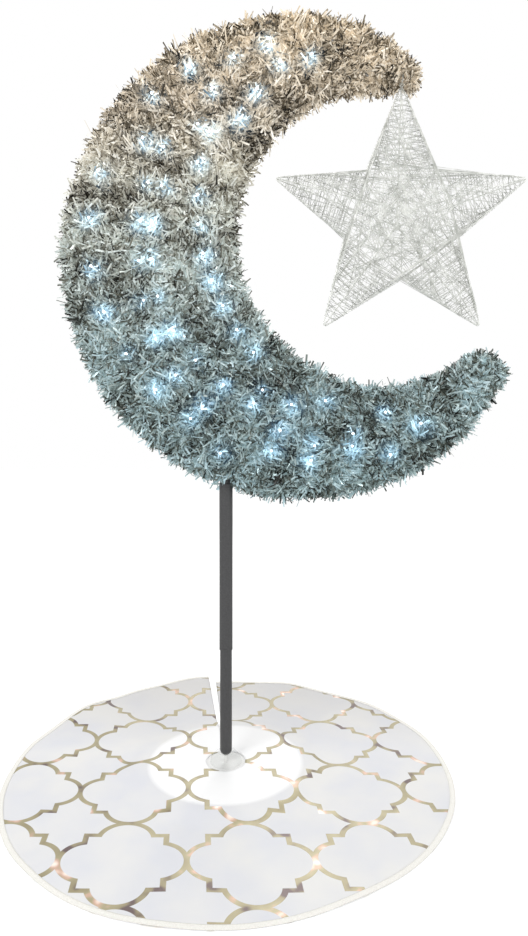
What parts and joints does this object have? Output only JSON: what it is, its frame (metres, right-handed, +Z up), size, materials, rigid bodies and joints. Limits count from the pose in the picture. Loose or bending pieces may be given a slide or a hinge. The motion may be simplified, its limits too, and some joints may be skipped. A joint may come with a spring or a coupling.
{
  "type": "eid crescent ornament",
  "caption": "Floor-standing tinsel crescent with lit lamps and a hanging wire star, on a two-section pole over a round skirt with a trellis pattern.",
  "frame": {"origin": "on the floor, on the pole's axis, at the middle of the base mat's underside", "axes": "+Z up along the pole, +X towards the crescent's open side, -Y towards the viewer"},
  "size_m": [1.1106, 0.9139, 1.6289],
  "materials": {
    "floor_rubber": "matt",
    "white_steel": "satin",
    "clear_acrylic": "clear, polished",
    "grey_plastic": "satin",
    "grey_lacquered_tube": "satin lacquer",
    "skirt_cloth": "white cloth with an olive-gold foil trellis",
    "hem_tape": "woven tape",
    "grey_frame_rod": "satin",
    "foil_tinsel": "metallised foil strips",
    "lamp_cable": "satin",
    "lamp_holder_plastic": "satin",
    "lamp_lens": "lit, clear",
    "hanger_wire": "bright",
    "star_rod": "silvered",
    "star_wire": "silvered"
  },
  "bodies": {
    "stand": {"base_mat": "floor_rubber", "base_plate": "white_steel", "foot_boss": "clear_acrylic", "pole_bolt": "white_steel", "pole_end_plug": "grey_plastic", "lower_pole": "grey_lacquered_tube", "stop_ring": "grey_lacquered_tube", "skirt": "skirt_cloth", "skirt_binding": "hem_tape"},
    "upper_pole_tube": {"upper_pole": "grey_lacquered_tube"},
    "moon": {"stub_tube": "grey_lacquered_tube", "stub_collar": "grey_lacquered_tube", "outer_rim": "grey_frame_rod", "inner_rim": "grey_frame_rod", "frame_rungs": "grey_frame_rod", "garland_01": "foil_tinsel", "garland_02": "foil_tinsel", "garland_03": "foil_tinsel", "garland_04": "foil_tinsel", "garland_05": "foil_tinsel", "garland_06": "foil_tinsel", "garland_07": "foil_tinsel", "garland_08": "foil_tinsel", "garland_09": "foil_tinsel", "garland_10": "foil_tinsel", "upper_sleeve": "foil_tinsel", "upper_tuft": "foil_tinsel", "lower_sleeve": "foil_tinsel", "lower_tuft": "foil_tinsel", "light_wire": "lamp_cable", "lamp_holders": "lamp_holder_plastic", "lamp_lenses": "lamp_lens", "star_eye": "hanger_wire"},
    "hanger": {"hanger_ring": "hanger_wire"},
    "star": {"star_loop": "hanger_wire", "star_outline": "star_rod", "star_front_ribs": "star_rod", "star_back_ribs": "star_rod", "star_hubs": "star_rod", "star_winding_1": "star_wire", "star_winding_2": "star_wire", "star_winding_3": "star_wire", "star_winding_4": "star_wire", "star_winding_5": "star_wire", "star_web_front": "star_wire", "star_web_back": "star_wire"}
  },
  "joints": [
    {"name": "upper_pole_lift", "type": "slide", "parent": "stand", "child": "upper_pole_tube", "axis": [0, 0, 1], "range_m": [0, 0.08]},
    {"name": "moon_turn", "type": "hinge", "parent": "upper_pole_tube", "child": "moon", "pos_m": [0, 0, 0.601], "axis": [0, 0, 1], "continuous": true},
    {"name": "star_sway", "type": "hinge", "parent": "moon", "child": "hanger", "pos_m": [0.3813, 0, 1.51113], "axis": [0, 1, 0], "range_deg": [-8, 8]},
    {"name": "star_nod", "type": "hinge", "parent": "hanger", "child": "star", "pos_m": [0.3813, 0, 1.48173], "axis": [1, 0, 0], "range_deg": [-15, 15]}
  ]
}
